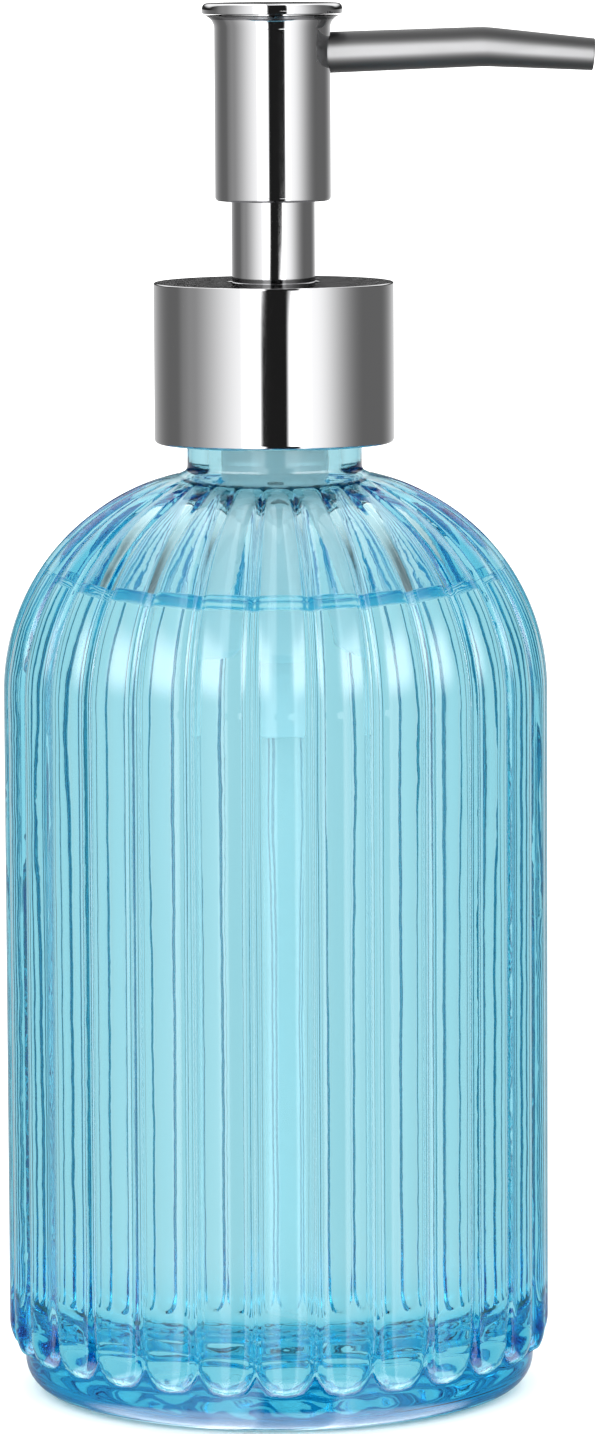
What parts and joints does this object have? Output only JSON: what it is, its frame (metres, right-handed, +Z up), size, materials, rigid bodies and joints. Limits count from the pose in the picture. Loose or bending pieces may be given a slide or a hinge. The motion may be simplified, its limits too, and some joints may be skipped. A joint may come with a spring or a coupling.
{
  "type": "soap pump dispenser",
  "caption": "Fluted blue glass bottle with a screw-on polished steel lotion pump: pressing the head draws liquid soap up a dip tube and out of a bent side spout.",
  "frame": {"origin": "centre of the bottle's flat base, on the surface it stands on", "axes": "+Z up along the pump's and bottle's axis, +X towards the tip of the spout"},
  "size_m": [0.0844, 0.0776, 0.1977],
  "materials": {
    "blue_glass": "clear, tinted pale blue, moulded",
    "polished_steel": "mirror-polished stainless steel",
    "white_plastic": "natural polypropylene, slightly translucent",
    "dark_plastic": "black polypropylene",
    "clear_plastic": "translucent polyethylene",
    "gasket_foam": "closed-cell foam",
    "spring_steel": "bright drawn stainless wire"
  },
  "bodies": {
    "bottle": {"glass_bottle": "blue_glass"},
    "pump": {"pump_barrel": "white_plastic", "stem_guide": "dark_plastic", "neck_gasket": "gasket_foam", "dip_tube": "clear_plastic", "ball_retainer": "white_plastic", "return_spring": "spring_steel"},
    "collar": {"collar_shell": "polished_steel", "threaded_cap": "white_plastic"},
    "valve": {"check_ball": "spring_steel"},
    "piston": {"piston_seal": "clear_plastic"},
    "head": {"piston_stem": "white_plastic", "stem_plug": "white_plastic", "stem_sleeve": "polished_steel", "head_core": "white_plastic", "head_shell": "polished_steel", "head_cap": "polished_steel", "spout": "polished_steel", "spout_liner": "white_plastic"}
  },
  "joints": [
    {"name": "pump_rise", "type": "slide", "parent": "bottle", "child": "pump", "axis": [0, 0, 1], "range_m": [0, 0.0064]},
    {"name": "collar_turn", "type": "hinge", "parent": "pump", "child": "collar", "pos_m": [0, 0, 0.147], "axis": [0, 0, 1], "range_deg": [0, 540]},
    {"name": "ball_lift", "type": "slide", "parent": "pump", "child": "valve", "axis": [0, 0, 1], "range_m": [0, 0.0015]},
    {"name": "press", "type": "slide", "parent": "pump", "child": "piston", "axis": [0, 0, 1], "range_m": [-0.011, 0], "stiffness_N_per_m": 727, "springref_m": 0.0055, "deforming": ["return_spring"]},
    {"name": "swivel", "type": "hinge", "parent": "piston", "child": "head", "pos_m": [0, 0, 0.18], "axis": [0, 0, 1], "continuous": true}
  ],
  "couplings": [
    {"joint": "pump_rise", "follows": "collar_turn", "m_per_rad": 0.00067376}
  ]
}
